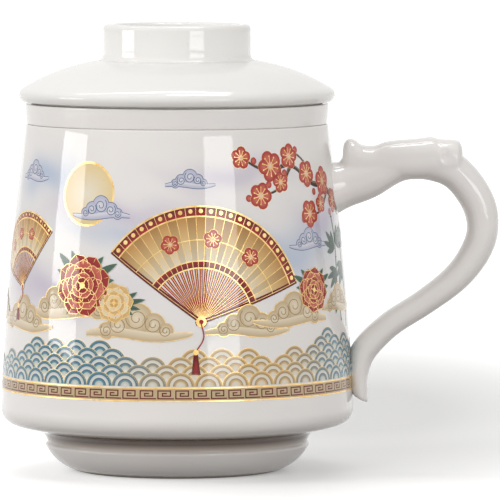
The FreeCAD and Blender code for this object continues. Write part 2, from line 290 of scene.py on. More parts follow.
def dress(piece, body, slot, material, *nodes):
    """Gives a piece its material, its body and the CAD nodes that it stands for. Its slot is not used."""
    piece.data.materials.append(material)
    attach(piece, body)
    if nodes:
        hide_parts(*nodes)


MUG_RIM = ((RIM_RADIUS, MUG_TALL, 0), (RIM_BORE, MUG_TALL, 0))
mug_profile = glazed(np.concatenate([
    bowed(MUG_RECESS)[:-1], bowed(MUG_SIDE)[:-1], bowed(MUG_RIM)[:-1], bowed(MUG_INSIDE),
]))
mug_shell = lathe("mug_shell", mug_profile)
dress(mug_shell, "mug", "body_glaze", porcelain("mug_glaze", bare_below=WIPED_BELOW), "mug_body")

# Print on the front. Fired colours and bright gold, screened on to sheets of film and slid on to the
# glaze: two folding fans over a sea of scale waves, with peonies, a plum branch, bamboo, a moon and
# rolled clouds. Its lengths are millimetres round the unrolled side and up from its own foot.
PRINT_RADIUS = 47.0
PRINT_FOOT = 3.0
PRINT_START = -80
PRINT_END = 70
PRINT_LIFT = 0.020
LAYER_LIFT = 0.010
PRINT_STEP = 1.4
FULL_TURN = 2 * np.pi
# The layers of the film, from the glaze outwards.
MIST_LAYER = 0
MOON_LAYER = 0.6
THIN_CLOUD_LAYER = 1.5
BRANCH_LAYER = 2.0
BLOSSOM_LAYER = 3.0
FAN_LAYER = 4.0
SEA_LAYER = 4.0
FRET_LAYER = 4.0
BAMBOO_LAYER = 8.5
CLOUD_LAYER = 10.5
SPRAY_LAYER = 16.2
TASSEL_LAYER = 16.5
PEONY_LAYER = 17.2


def ink(red, green, blue):
    """A printed colour, given as it looks on paper from 0 to 255, as the share of the light that it gives
    back, by the usual curve of screens."""
    level = np.array((red, green, blue)) / 255
    return np.where(level > 0.04045, ((level + 0.055) / 1.055) ** 2.4, level / 12.92)


CREAM = ink(250, 240, 214)
TAN = ink(214, 190, 148)
TAN_DEEP = ink(176, 146, 98)
OCHRE = ink(206, 150, 76)
OCHRE_PALE = ink(240, 206, 144)
RED = ink(182, 30, 28)
RED_DEEP = ink(112, 18, 18)
ROSE = ink(226, 118, 100)
SLATE = ink(74, 112, 152)
TEAL = ink(96, 160, 172)
LILAC = ink(196, 200, 230)
INK_BLUE = ink(38, 56, 84)
LEAF = ink(30, 62, 54)
LEAF_PALE = ink(92, 134, 108)
BARK = ink(66, 42, 34)
FOAM = ink(246, 246, 238)
PALE = ink(240, 242, 252)
GOLD_LINE = np.ones(3)
PETAL_LINE = 0.16
CLOUD_RIM = 0.17

wall = bowed((MUG_SIDE[5], MUG_SIDE[6]))
printed = {"colour": [], "gold": []}


def on_wall(s, v, layer):
    """Places on the unrolled side, s along it and v up it from the print's own foot in millimetres,
    rolled back on to the glaze and lifted by their layer."""
    turn = s / PRINT_RADIUS
    height = v + PRINT_FOOT
    radius = np.interp(height, wall[:, 1], wall[:, 0]) + PRINT_LIFT + LAYER_LIFT * layer
    return np.stack([radius * np.sin(turn), -radius * np.cos(turn), height], -1) * MM


def lay(film, s, v, layer, colour):
    """Lays a grid of the print: its places, its layer, and one colour or one for each place."""
    turned = np.sum((s[:-1, :-1] - s[1:, 1:]) * (v[:-1, 1:] - v[1:, :-1])
                    - (v[:-1, :-1] - v[1:, 1:]) * (s[:-1, 1:] - s[1:, :-1]))
    if turned < 0:
        s = s[:, ::-1]
        v = v[:, ::-1]
        if np.ndim(colour) > 1:
            colour = colour[:, ::-1]
    printed[film].append((on_wall(s, v, layer), np.broadcast_to(colour, (*s.shape, 3))))


def mixed(start, end, share):
    """Colours between two, by a share for each place."""
    return start + (end - start) * np.asarray(share)[..., None]


def stroke(film, s, v, width, layer, colour=GOLD_LINE):
    """A line along places, as wide as given, all along or at each place."""
    along = np.gradient(s)
    up = np.gradient(v)
    length = np.hypot(along, up) + 1e-9
    half = np.broadcast_to(width, s.shape) / 2
    edge_s = up / length * half
    edge_v = along / length * half
    lay(film, np.stack([s - edge_s, s + edge_s]), np.stack([v + edge_v, v - edge_v]), layer, colour)


def round_patch(film, s, v, outer, layer, colour=GOLD_LINE, rim=None, inner=0.0, span=(0.0, FULL_TURN),
                steps=28):
    """A disc, a ring or a sector of one, that shades from colour at its inside to rim at its outside."""
    rows = max(2, int((outer - inner) / PRINT_STEP) + 2)
    share = np.linspace(0, 1, rows)[:, None]
    radius = inner + (outer - inner) * share
    turn = np.linspace(*span, steps)[None, :]
    tone = mixed(colour, colour if rim is None else rim, share * np.ones_like(turn))
    lay(film, s + radius * np.cos(turn), v + radius * np.sin(turn), layer, tone)


def petal(s, v, turn, length, width, layer, root, tip, outline=True, fullness=0.75, notch=0.0, blunt=0.75):
    """A petal or a leaf: a spindle from its root along its turn, as wide as a sine, widest past the
    middle as fullness goes below 1 and rounder as blunt does, with a dip in its tip and a fine line."""
    share = np.linspace(0, 1, max(7, int(length / PRINT_STEP) + 3))[:, None]
    side = np.linspace(-1, 1, 7)[None, :]
    half = width / 2 * np.sin(np.pi * share ** (1 / fullness)) ** blunt
    along = length * share * (1 - notch * (1 - np.abs(side)) * share ** 6)
    across = half * side
    place_s = s + along * np.cos(turn) - across * np.sin(turn)
    place_v = v + along * np.sin(turn) + across * np.cos(turn)
    lay("colour", place_s, place_v, layer, mixed(root, tip, share ** 1.3 * (0.75 + 0.25 * np.abs(side))))
    if outline:
        for edge in (0, -1):
            stroke("gold", place_s[:, edge], place_v[:, edge], PETAL_LINE, layer + 0.5)
        stroke("gold", place_s[-1], place_v[-1], PETAL_LINE, layer + 0.5)


# A fan's paper lies in bands between shares of the fan's reach, each with its colours at both. Gold arcs
# of these widths lie where the bands meet.
PAPER_FOOT = 0.46
PAPER_EDGE = 0.985
PLEAT_SHADE = 0.80
FAN_BANDS = (
    (PAPER_FOOT, 0.52, RED_DEEP, RED), (0.52, 0.70, CREAM, OCHRE_PALE), (0.70, 0.90, OCHRE_PALE, OCHRE),
    (0.90, PAPER_EDGE, RED, RED_DEEP),
)
FAN_ARCS = ((PAPER_FOOT, 0.35), (0.52, 0.30), (0.70, 0.20), (0.90, 0.40), (PAPER_EDGE, 0.45))


def folding_fan(s, v, tilt, reach, opening, folds, layer, hung):
    """A paper fan on its sticks, spread by opening about its tilt. The paper is pleated, bordered in red
    and gold, ochre above and cream below, and the sticks run from the rivet to the paper. A tassel hangs
    from the rivet, in a layer of its own."""
    edges = np.linspace(-opening / 2, opening / 2, folds + 1) + tilt

    def ray(turn, share):
        """The place at a share of the reach, along the ray from the rivet that leans by this turn."""
        return s + reach * share * np.sin(turn), v + reach * share * np.cos(turn)

    for fold in range(folds):
        shade = 1.0 if fold % 2 else PLEAT_SHADE
        sides = np.linspace(edges[fold], edges[fold + 1], 4)
        for low, high, start, end in FAN_BANDS:
            share, turn = np.meshgrid(np.linspace(low, high, 6), sides, indexing="ij")
            lay("colour", *ray(turn, share), layer, mixed(start, end, (share - low) / (high - low)) * shade)
        middle = (edges[fold] + edges[fold + 1]) / 2
        down = np.linspace(0.03, PAPER_FOOT, 12)
        stroke("colour", *ray(middle, down), np.linspace(0.35, 0.85, 12) * reach / 30, layer, RED * shade)
        stroke("gold", *ray(middle, down), 0.13, layer + 1)
        eye_s, eye_v = ray(middle, 0.945)
        round_patch("gold", eye_s, eye_v, 0.020 * reach, layer + 1, steps=9)
    for edge in edges:
        stroke("gold", *ray(edge, np.linspace(PAPER_FOOT, PAPER_EDGE, 16)), 0.15, layer + 1)
    arc = np.linspace(edges[0], edges[-1], 60)
    for share, width in FAN_ARCS:
        stroke("gold", *ray(arc, share), width, layer + 2)
    for edge in (edges[0], edges[-1]):
        stroke("colour", *ray(edge, np.linspace(-0.05, PAPER_EDGE, 30)), 0.038 * reach, layer + 2, RED_DEEP)
        stroke("gold", *ray(edge, np.linspace(-0.04, 0.97, 30)), 0.14, layer + 3)
    for turn in np.linspace(edges[0], edges[-1], 5)[1:-1]:
        flower_s, flower_v = ray(turn, 0.71)
        plum_flower(flower_s, flower_v, 0.085 * reach, layer + 3, turn)
    round_patch("gold", s, v, 0.045 * reach, layer + 4, steps=16)
    round_patch("colour", s, v, 0.020 * reach, layer + 5, RED, steps=12)
    hang = np.linspace(0, 1, 16)
    cord_s = s + 1.6 * np.sin(hang * 4.5) * hang
    cord_v = v - reach * 0.26 * hang
    stroke("colour", cord_s, cord_v, 0.35, hung, RED)
    end_s, end_v = cord_s[-1], cord_v[-1]
    for spread in np.linspace(-1, 1, 11):
        down = np.linspace(0, 1, 8)
        stroke("colour", end_s + spread * (0.35 + 0.75 * down), end_v - reach * 0.19 * down,
               np.linspace(0.30, 0.16, 8), hung, mixed(RED, RED_DEEP, abs(spread)))
    round_patch("gold", end_s, end_v, 0.75, hung + 1, steps=14)


def plum_flower(s, v, size, layer, turn=0.0, face=RED, heart=ROSE):
    """A plum blossom: five round petals about a pale heart, with gold stamens. Its parts stand at shares
    of its size from the middle."""
    petal_out = 0.52 * size
    petal_radius = 0.475 * size
    for k in range(5):
        way = turn + k * FULL_TURN / 5
        petal_s = s + petal_out * np.cos(way)
        petal_v = v + petal_out * np.sin(way)
        round_patch("gold", petal_s, petal_v, petal_radius + 0.07, layer, steps=16)
        round_patch("colour", petal_s, petal_v, petal_radius, layer + 0.6, heart, face, steps=16)
    round_patch("colour", s, v, 0.30 * size, layer + 1.2, CREAM, heart, steps=12)
    for k in range(10):
        way = turn + (k + 0.5) * FULL_TURN / 10
        out = np.linspace(0.12, 0.62, 3) * size
        stamen_s = s + out * np.cos(way)
        stamen_v = v + out * np.sin(way)
        stroke("gold", stamen_s, stamen_v, 0.05 * size, layer + 1.8)
        round_patch("gold", stamen_s[-1], stamen_v[-1], 0.06 * size, layer + 1.8, steps=7)


def peony(s, v, size, layer, turn, deep=RED_DEEP, bright=RED, tip=ROSE):
    """A peony seen a little from above: rings of notched petals that get smaller, paler and closer to its
    gold heart. Each ring has a count, a length and a width as shares of the size, and its colours."""
    rings = ((8, 1.00, 0.74, deep, bright), (7, 0.80, 0.66, bright, tip), (6, 0.60, 0.54, deep, bright),
             (5, 0.42, 0.44, bright, tip), (4, 0.26, 0.30, deep, bright))
    for ring, (count, length, width, root, end) in enumerate(rings):
        for k in range(count):
            way = turn + ring * 0.37 + k * FULL_TURN / count
            petal(s, v, way, size * length, size * width, layer + ring * 0.9 + 0.12 * (k % 3), root, end,
                  fullness=0.62, notch=0.20, blunt=0.62)
    round_patch("gold", s, v, 0.10 * size, layer + 5.5, steps=12)


def spray(s, v, turn, spread, count, length, layer, root=LEAF, tip=LEAF_PALE):
    """Leaves that fan out from one point, the middle ones longest."""
    for k, way in enumerate(np.linspace(turn - spread / 2, turn + spread / 2, count)):
        share = 1 - 0.35 * abs(2 * k / max(count - 1, 1) - 1)
        petal(s, v, way, length * share, length * 0.19, layer + 0.25 * (k % 3), root, tip, outline=False,
              fullness=0.9)
        out = np.linspace(0, 0.85 * length * share, 6)
        stroke("colour", s + out * np.cos(way), v + out * np.sin(way), 0.14, layer + 0.8, INK_BLUE)


# Each lobe of a rolled cloud stands across and up from its middle, with a radius, in shares of its size.
CLOUD_LOBES = (
    (-1.55, 0.10, 0.40), (-0.95, 0.42, 0.58), (-0.10, 0.72, 0.78), (0.85, 0.38, 0.60), (1.50, 0.08, 0.42),
)


def rolled_cloud(s, v, size, layer, fill, edge, line, rim=None, flip=1):
    """A rolled cloud: lobes that run into one outline over a long flat tail, each with its curl drawn in
    line, and all with a gold rim, or with one of that colour. A flip of -1 turns it round."""
    film = "gold" if rim is None else "colour"
    rim = GOLD_LINE if rim is None else rim
    for across, up, radius in CLOUD_LOBES:
        lobe_s = s + flip * across * size
        lobe_v = v + up * size
        round_patch(film, lobe_s, lobe_v, radius * size + CLOUD_RIM, layer, rim, steps=36)
        round_patch("colour", lobe_s, lobe_v, radius * size, layer + 0.6, fill, edge, steps=36)
    along = np.linspace(-2.9, 2.6, 26)
    half = 0.24 * size * np.sqrt(np.clip(1 - (along / 2.95) ** 2, 0, 1))
    tail_s = np.stack([s + flip * along * size] * 2)
    tail_v = v - 0.10 * size + 0.12 * size * np.sin(along * 1.2)
    tone = np.stack([np.tile(edge, (len(along), 1)), np.tile(fill, (len(along), 1))])
    lay(film, tail_s, np.stack([tail_v - half - CLOUD_RIM, tail_v + half + CLOUD_RIM]), layer, rim)
    lay("colour", tail_s, np.stack([tail_v - half, tail_v + half]), layer + 1.5, tone)
    turn = np.linspace(0.2, 4.0 * np.pi * 0.86, 40)
    for across, up, radius in CLOUD_LOBES:
        curl = radius * size * (0.12 + 0.66 * turn / turn[-1])
        stroke("colour", s + flip * (across * size + curl * np.cos(turn + 2.6)),
               v + up * size + curl * np.sin(turn + 2.6), 0.05 * size ** 0.5 + 0.10, layer + 2.2, line)


# Far mist, the lowest film: soft banks of blue and lilac that fade to bare glaze. Each bank is its
# strength, its middle, how wide it is and how tall.
BLUE_BANKS = (
    (1.0, -46, 80, 15, 5.0), (0.9, 34, 60, 22, 6.5), (0.8, -2, 66, 30, 3.2), (1.0, -66, 62, 12, 7),
)
LILAC_BANKS = (
    (1.0, -20, 72, 22, 4.0), (0.8, 18, 82, 20, 3.5), (1.0, 52, 70, 12, 5), (1.0, -40, 50, 26, 6),
)
MIST_FOOT = 22
MIST_TOP = 92
mist_s, mist_v = np.meshgrid(
    np.linspace(PRINT_START, PRINT_END, 260), np.linspace(MIST_FOOT, MIST_TOP, 120), indexing="ij")


def mist(banks):
    """How thick the mist lies at each place: soft-edged banks, each a bell curve bent by slow waves."""
    thick = 0
    for strength, middle_s, middle_v, wide, tall in banks:
        bend = 1.6 * np.sin(mist_s / 7.0 + middle_v) + 0.9 * np.sin(mist_s / 3.1 + mist_v / 4.0)
        away = ((mist_s - middle_s) / wide) ** 2 + ((mist_v + bend - middle_v) / tall) ** 2
        thick = thick + strength * np.exp(-away)
    return np.clip(thick, 0, 1)


haze = mixed(np.ones(3), ink(188, 208, 238), 0.85 * mist(BLUE_BANKS))
haze *= mixed(np.ones(3), ink(214, 208, 232), 0.80 * mist(LILAC_BANKS))
lay("colour", mist_s, mist_v, MIST_LAYER, haze)

# Moon, with a gold ring, and thin clouds across it and over the sky.
MOON_SPOT = (-27.0, 76.5)
MOON_RADIUS = 8.3
MOON_RING = 8.9
round_patch("gold", *MOON_SPOT, MOON_RING, MOON_LAYER, inner=MOON_RADIUS, steps=64)
round_patch("colour", *MOON_SPOT, MOON_RADIUS, MOON_LAYER, ink(255, 250, 232), ink(250, 226, 168), steps=64)
for cloud_s, cloud_v, wide, way in (
    (-22.0, 71.0, 3.4, 1), (-52.0, 80.5, 3.0, -1), (4.0, 79.5, 2.7, -1), (44.0, 62.0, 3.1, 1),
):
    rolled_cloud(cloud_s, cloud_v, wide, THIN_CLOUD_LAYER, PALE, LILAC, SLATE, rim=SLATE, flip=way)


def through(table, steps):
    """Rows between the rows of a table, on one smooth curve through them all: a Catmull-Rom cubic in each
    column, with steps rows to each gap."""
    rows = np.array(table, float)
    ends = np.vstack([2 * rows[0] - rows[1], rows, 2 * rows[-1] - rows[-2]])
    share = np.linspace(0, len(rows) - 1, (len(rows) - 1) * steps + 1)
    gap = np.minimum(share.astype(int), len(rows) - 2)
    t = (share - gap)[:, None]
    before, start, end, after = (ends[gap + k] for k in range(4))
    return 0.5 * (
        2 * start + (end - before) * t + (2 * before - 5 * start + 4 * end - after) * t ** 2
        + (3 * start - before - 3 * end + after) * t ** 3
    )


def branch(points, thick):
    """A plum branch through a few places, knotted by two sine waves and thinning to its tip."""
    way = through(points, 8)
    share = np.linspace(0, 1, len(way))
    knots = 1 + 0.16 * np.sin(share * 31) + 0.10 * np.sin(share * 57)
    stroke("colour", way[:, 0], way[:, 1], thick * (1.05 - 0.85 * share) * knots, BRANCH_LAYER, BARK)
    stroke("colour", way[:, 0] - 0.10 * thick, way[:, 1] + 0.22 * thick, 0.18, BRANCH_LAYER + 0.6, TAN_DEEP)


# Plum branch, in from the handle's side over the fan: the bough, three twigs, the blossoms and the buds.
branch(((66, 70), (56, 77), (47, 79), (38, 84), (28, 83), (19, 87)), 2.2)
branch(((47, 79), (44, 85), (37, 89)), 1.2)
branch(((38, 84), (33, 78), (25, 75.5)), 1.2)
branch(((57, 76.5), (51, 71), (44, 70)), 1.1)
for place_s, place_v, wide, way in (
    (54, 79, 4.3, 0.3), (45, 81.5, 3.8, 1.0), (37.5, 86.5, 3.6, 0.1), (30, 84, 4.4, 0.7),
    (20, 86.5, 3.2, 0.2), (26, 76, 3.8, 1.2), (33.5, 79.5, 3.0, 0.5), (45, 70.5, 4.0, 0.9),
    (51.5, 73, 2.8, 0.4), (61, 73.5, 3.6, 0.8),
):
    plum_flower(place_s, place_v, wide, BLOSSOM_LAYER, way)
for place_s, place_v in (
    (40.6, 88.2), (35.2, 82), (24.2, 85.6), (22, 75.4), (29, 79), (48.2, 76.4), (42, 69), (57.6, 70.4),
):
    round_patch("colour", place_s, place_v, 1.0, BLOSSOM_LAYER, ROSE, RED, steps=14)

# Fans, one large beside the middle and one small towards the left edge.
folding_fan(7.0, 42.0, math.radians(9), 32.0, math.radians(124), 22, FAN_LAYER, TASSEL_LAYER)
folding_fan(-53.0, 50.0, math.radians(-16), 21.0, math.radians(112), 16, FAN_LAYER, TASSEL_LAYER)

# Sea: rows of scale waves, each in front of the one above it, up to a skyline that swells at both sides.
WAVE_RADIUS = 3.7
WAVE_RISE = 2.15
WAVE_ROWS = 11
WAVE_LAYER = 0.55
WAVE_FOOT = 24.4


def skyline(s):
    """How high the sea reaches along the side: a level, two bell-shaped swells and a slow wave."""
    swell = 7.0 * np.exp(-((s - 48) / 13) ** 2) + 5 * np.exp(-((s + 24) / 15) ** 2)
    return 30.0 + swell + 2 * np.sin(s / 9)


def sea_tint(s, deep):
    """The sea's colour at a place: tan under the large fan, and blue towards both ends."""
    tan = np.exp(-((s - 17) / 26) ** 4)
    return mixed(SLATE if deep else TEAL, TAN_DEEP if deep else OCHRE_PALE, tan)


for row in range(WAVE_ROWS):
    height = WAVE_FOOT + WAVE_RISE * (WAVE_ROWS - 1 - row)
    starts = np.arange(PRINT_START, PRINT_END, 2 * WAVE_RADIUS) + (row % 2) * WAVE_RADIUS
    for middle in starts[height < skyline(starts)]:
        deep = sea_tint(middle, True)
        pale = sea_tint(middle, False)
        scale = ((1.00, deep, pale), (0.78, FOAM, mixed(FOAM, pale, 0.4)), (0.56, pale, deep),
                 (0.34, FOAM, mixed(FOAM, pale, 0.5)))
        upper = (0.0, np.pi)
        round_patch("gold", middle, height, WAVE_RADIUS + 0.10, SEA_LAYER + row * WAVE_LAYER,
                    inner=WAVE_RADIUS * 0.9, span=upper, steps=18)
        for k, (share, colour, rim) in enumerate(scale):
            inside = scale[k + 1][0] if k < len(scale) - 1 else 0.0
            round_patch("colour", middle, height, WAVE_RADIUS * share, SEA_LAYER + 0.2 + row * WAVE_LAYER,
                        colour, rim, inner=WAVE_RADIUS * inside, span=upper, steps=16)

# A bank of rolled clouds, gold-rimmed and tan, over the skyline.
for cloud_s, cloud_v, wide, way, depth in (
    (-72, 41.5, 4.6, 1, 0.0), (-31, 44.5, 6.2, 1, 0.0), (20, 39.5, 4.6, -1, 0.0), (58, 44.5, 4.0, -1, 0.0),
    (-52, 40.0, 5.2, -1, 3.0), (-11, 39.0, 5.4, -1, 3.0), (36, 42.0, 5.0, 1, 3.0),
):
    rolled_cloud(cloud_s, cloud_v, wide, CLOUD_LAYER + depth, CREAM, TAN, TAN_DEEP, flip=way)

# Peonies and leaves on the bank, and bamboo at the right.
for leaf_s, leaf_v, way, wide in (
    (-27, 52, 2.4, 12), (-27, 52, 0.5, 12), (-27, 52, 4.2, 10), (44, 50.0, 2.7, 9), (44, 50.0, 0.4, 9),
    (-16, 46.5, 0.2, 8),
):
    spray(leaf_s, leaf_v, way, 1.5, 5, wide, SPRAY_LAYER)
peony(-17.0, 47.0, 5.6, PEONY_LAYER, 0.9, deep=OCHRE, bright=OCHRE_PALE, tip=CREAM)
peony(-27.0, 51.5, 8.8, PEONY_LAYER + 1.0, 0.3)
peony(44.0, 49.5, 6.4, PEONY_LAYER, 0.6)
for stem in (((60, 40), (58.5, 50), (59.5, 62), (58, 70)), ((65, 38), (66, 50), (64.5, 66))):
    cane = through(stem, 8)
    stroke("colour", cane[:, 0], cane[:, 1], 0.9, BRANCH_LAYER, LEAF_PALE)
    for joint_s, joint_v in cane[3::5]:
        joint = (joint_s + np.array([-0.7, 0.7]), np.full(2, joint_v))
        stroke("colour", *joint, 0.3, BRANCH_LAYER + 0.7, LEAF)
for leaf_s, leaf_v, way in (
    (59, 54, 3.6), (58.5, 60, 2.6), (58.5, 49, 4.1), (59.5, 62, 0.3), (65, 56, 3.9), (65, 60, 1.0),
):
    spray(leaf_s, leaf_v, way, 1.3, 4, 8.5, BAMBOO_LAYER)

# Fret border along the foot of the print: dark red keys on a tan ground between two gold rules.
# The lines of a key lie at shares of its unit along the border and of the height between the rules.
FRET_LOW = 20.2
FRET_TALL = 3.9
FRET_UNIT = 4.7
RULE_TALL = 0.35
KEY_HALF = 0.17
KEY_LEVEL = ((0.05, 0.95, 0.14), (0.05, 0.75, 0.86), (0.30, 0.75, 0.38), (0.30, 0.55, 0.62))
KEY_UPRIGHT = ((0.05, 0.14, 0.86), (0.75, 0.38, 0.86), (0.30, 0.38, 0.62))


def strip(film, start, end, low, high, layer, colour=GOLD_LINE):
    """An upright rectangle of the print."""
    s = np.linspace(start, end, max(2, int(abs(end - start) / PRINT_STEP) + 2))
    lay(film, np.stack([s, s]), np.stack([np.full(len(s), low), np.full(len(s), high)]), layer, colour)


def key_height(share):
    """A height inside the border, by its share of the way from the lower rule to the upper."""
    return FRET_LOW + FRET_TALL * (0.12 + 0.76 * share)


strip("colour", PRINT_START, PRINT_END, FRET_LOW, FRET_LOW + FRET_TALL, FRET_LAYER, TAN)
for height in (FRET_LOW, FRET_LOW + FRET_TALL - RULE_TALL):
    strip("gold", PRINT_START, PRINT_END, height, height + RULE_TALL, FRET_LAYER + 1)
for unit in np.arange(PRINT_START, PRINT_END - FRET_UNIT, FRET_UNIT):
    for start, end, level in KEY_LEVEL:
        middle = key_height(level)
        strip("colour", unit + start * FRET_UNIT, unit + end * FRET_UNIT,
              middle - KEY_HALF, middle + KEY_HALF, FRET_LAYER + 1, RED_DEEP)
    for across, low, high in KEY_UPRIGHT:
        middle = unit + across * FRET_UNIT
        strip("colour", middle - KEY_HALF, middle + KEY_HALF, key_height(low) - KEY_HALF,
              key_height(high) + KEY_HALF, FRET_LAYER + 1, RED_DEEP)


def film_mesh(name, film):
    """One mesh of all that was laid in a film, with its colours as an attribute."""
    points = []
    faces = []
    colours = []
    first = 0
    for place, colour in printed[film]:
        rows, columns = place.shape[:2]
        faces.append(first + grid_faces(rows, columns, tube=False))
        points.append(place.reshape(-1, 3))
        colours.append(np.reshape(colour, (-1, 3)))
        first += rows * columns
    piece = make_mesh(name, np.concatenate(points), np.concatenate(faces).tolist())
    pigment = piece.data.color_attributes.new("pigment", "FLOAT_COLOR", "POINT")
    rgba = np.ones((first, 4), np.float32)
    rgba[:, :3] = np.concatenate(colours)
    pigment.data.foreach_set("color", rgba.ravel())
    return piece


def bright_gold(name):
    """Fired bright gold: a thin metal film over the glaze, a little rubbed and a little uneven."""
    material, tree, shader, place = new_material(name)
    rub = noise(tree, place, 420.0, 3.0)
    tone = ramp(tree, rub, ((0.35, (0.78, 0.50, 0.17)), (0.65, (0.95, 0.70, 0.32))))
    link(tree, tone, shader.inputs["Base Color"])
    link(tree, ranged(tree, rub, 0.3, 0.7, 0.22, 0.38), shader.inputs["Roughness"])
    shader.inputs["Metallic"].default_value = 1.0
    return material


print_colours = film_mesh("print_colours", "colour")
dress(print_colours, "mug", "body_glaze", porcelain("print_glaze", pigment="pigment"))
print_gold = film_mesh("print_gold", "gold")
dress(print_gold, "mug", "body_glaze", bright_gold("print_gold"))

# Handle. Cast solid in a two-part mould and luted to the leather-hard side, then glazed over: a flattened
# bar that rises into a flat thumb rest with a nub and an end knuckle, and ends in a short free tail. Each
# row of the bar is its middle (x, z), the tilt of its section in degrees, its thickness and its width.
HANDLE_BAR = (
    (41.6, 78.2, 90, 17.0, 18.6), (44.4, 79.0, 88, 14.6, 16.4), (47.6, 80.2, 82, 12.8, 14.6),
    (54.0, 82.3, 71, 11.7, 13.9), (62.7, 86.3, 80, 10.4, 13.4), (70.9, 86.6, 97, 10.7, 13.4),
    (78.4, 83.1, 130, 9.7, 13.2), (84.1, 75.3, 157, 9.4, 12.6), (85.5, 67.7, 180, 8.9, 12.4),
    (83.3, 60.8, 205, 8.5, 12.2), (77.9, 53.8, 223, 7.8, 12.1), (69.2, 47.1, 237, 7.2, 12.1),
    (59.5, 40.8, 231, 7.1, 12.3), (52.4, 33.7, 207, 7.4, 12.6), (50.6, 27.6, 184, 6.2, 12.4),
    (50.9, 22.6, 184, 5.2, 11.8), (51.5, 19.9, 206, 4.3, 11.0),
)
# Each row of the rest is its place along x, the height of its top, its thickness, its width and how
# square it is, from the nub to the knuckle.
THUMB_REST = (
    (45.7, 87.0, 3.0, 6.0, 2.0), (46.2, 87.9, 3.8, 8.0, 2.0), (46.5, 91.2, 8.2, 9.4, 2.2),
    (47.6, 92.7, 10.4, 11.0, 2.4), (48.6, 92.9, 10.6, 11.6, 2.4), (49.9, 92.5, 10.6, 12.0, 2.5),
    (51.4, 91.3, 10.0, 12.4, 2.5), (53.6, 90.9, 9.8, 12.9, 2.6), (55.9, 91.1, 10.1, 13.3, 2.6),
    (57.8, 91.9, 10.7, 13.7, 2.7), (60.6, 92.4, 10.9, 13.9, 2.8), (68.0, 93.0, 11.4, 14.0, 2.8),
    (71.3, 93.4, 11.4, 14.0, 2.8), (73.1, 92.8, 10.9, 13.9, 2.8), (77.2, 92.6, 10.6, 13.8, 2.8),
    (79.0, 92.1, 9.4, 12.8, 2.5), (79.8, 90.3, 4.6, 8.4, 2.2),
)
BAR_SQUARE = 2.35
HANDLE_VOXEL = 0.40
HANDLE_ROUNDS = 9
# Painted shade: the handle's glaze is set darker than the body's, for the lesser light on the handle.
HANDLE_WHITE_PAINTED_SHADE = (0.770, 0.741, 0.717)
CURL_SPOT = (75.1, 88.3)
CURL_STRETCH = (1.35, 0.85)
CURL_DEEP = 0.75
CURL_RADIUS = 1.25
LIP_HIGH = 0.35
LIP_RADIUS = 2.3
LIP_WIDE = 0.7


def bar_along(name, middle, tilt, thick, wide, square, around=48):
    """A closed bar: superellipses of a thickness, a width and a squareness, one at each middle point of
    the XZ plane, each tilted in degrees so that at 90 it stands upright across the X axis."""
    angle = np.linspace(0, 2 * np.pi, around, endpoint=False)[None, :]
    power = 2 / square[:, None]
    inward = np.sign(np.cos(angle)) * np.abs(np.cos(angle)) ** power * thick[:, None] / 2
    sideways = np.sign(np.sin(angle)) * np.abs(np.sin(angle)) ** power * wide[:, None] / 2
    lean = np.radians(tilt)[:, None]
    x = middle[:, :1] + inward * np.cos(lean)
    z = middle[:, 1:] - inward * np.sin(lean)
    points = np.stack([x, sideways, z], -1).reshape(-1, 3) * MM
    count = len(middle)
    faces = grid_faces(count, around).tolist()
    faces.append(list(range(around))[::-1])
    faces.append(list(range((count - 1) * around, count * around)))
    return make_mesh(name, points, faces)


def finished_mesh(piece):
    """The mesh that a piece's modifiers make."""
    bpy.context.view_layer.update()
    return bpy.data.meshes.new_from_object(piece.evaluated_get(bpy.context.evaluated_depsgraph_get()))


def fused(name, parts, voxel, rounds):
    """One skin over parts that run into each other, as slip and glaze leave them: remeshed in voxels of
    this size and relaxed this many rounds."""
    with bpy.context.temp_override(active_object=parts[0], selected_editable_objects=parts):
        bpy.ops.object.join()
    whole = parts[0]
    remesh = whole.modifiers.new("one_skin", "REMESH")
    remesh.mode = "VOXEL"
    remesh.voxel_size = voxel * MM
    relax = whole.modifiers.new("glaze_soft", "SMOOTH")
    relax.factor = 0.5
    relax.iterations = rounds
    shape = finished_mesh(whole)
    bpy.data.objects.remove(whole)
    shape.name = name
    shape.shade_smooth()
    return placed(name, shape)


def move_points(piece, change):
    """Moves a piece's points, in millimetres, by what change gives for their places and their normals."""
    count = len(piece.data.vertices)
    place = np.empty(count * 3, np.float32)
    normal = np.empty(count * 3, np.float32)
    piece.data.vertices.foreach_get("co", place)
    piece.data.vertices.foreach_get("normal", normal)
    place = place.reshape(-1, 3).astype(float) / MM
    moved = place + change(place, normal.reshape(-1, 3).astype(float))
    piece.data.vertices.foreach_set("co", (moved * MM).astype(np.float32).ravel())
    piece.data.update()


def curl_dents(place, normal):
    """The curl at the knuckle, on both cheeks: a round dent with a raised lip on the side of the nub."""
    across = place[:, 0] - CURL_SPOT[0]
    up = place[:, 2] - CURL_SPOT[1]
    away = np.hypot(across * CURL_STRETCH[0], up * CURL_STRETCH[1])
    cheek = np.clip(np.abs(place[:, 1]) / 5.5 - 0.6, 0, 1)
    dent = -CURL_DEEP * np.exp(-(away / CURL_RADIUS) ** 2)
    nubward = np.clip(0.55 + (up - across) / 5, 0, 1)
    lip = LIP_HIGH * np.exp(-((away - LIP_RADIUS) / LIP_WIDE) ** 2) * nubward
    return normal * ((dent + lip) * cheek)[:, None]


